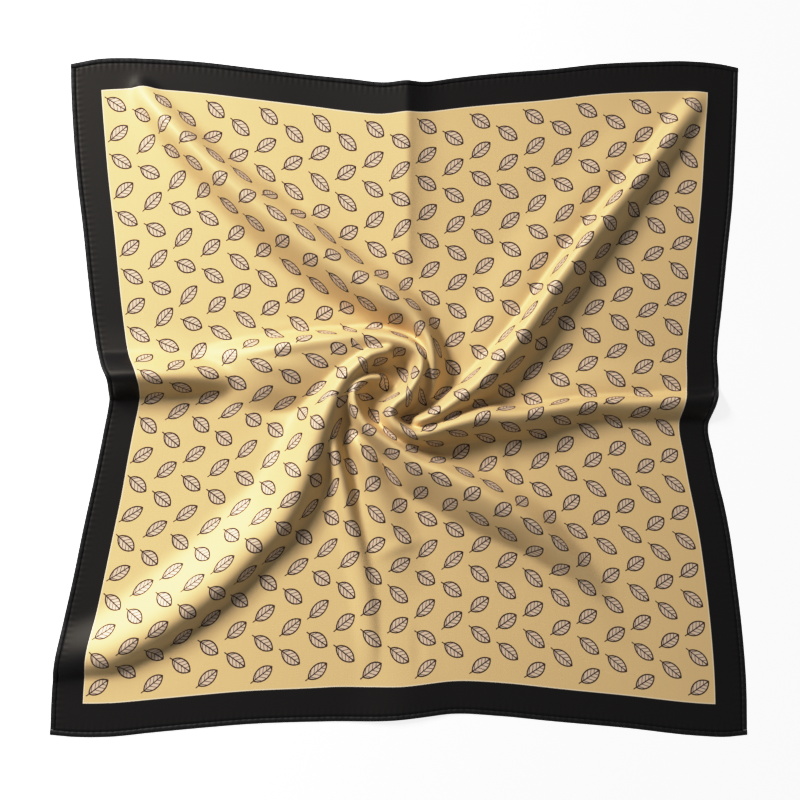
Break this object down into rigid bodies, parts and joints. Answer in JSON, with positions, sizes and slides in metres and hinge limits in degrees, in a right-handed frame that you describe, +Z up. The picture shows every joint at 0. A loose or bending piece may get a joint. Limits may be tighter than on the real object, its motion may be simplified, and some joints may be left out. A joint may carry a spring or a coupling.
{
  "type": "square scarf",
  "caption": "Square satin scarf with a printed gold field, a wide black border and narrow rolled hems, lying flat with its middle pinched and turned into a whirl of raised folds",
  "frame": {"origin": "the middle of the scarf's outline seen from above, on the surface that it lies on", "axes": "+Z up from the surface, +Y towards the back edge, the upper one in the picture, +X towards the right edge"},
  "size_m": [0.688, 0.6831, 0.0375],
  "materials": {
    "gold_satin": "satin weave with a soft sheen",
    "black_satin": "satin weave with a soft sheen"
  },
  "bodies": {
    "root": {"square_cloth_panel": "gold_satin", "hem_back": "black_satin", "hem_front": "black_satin", "hem_left": "black_satin", "hem_right": "black_satin"}
  },
  "joints": []
}
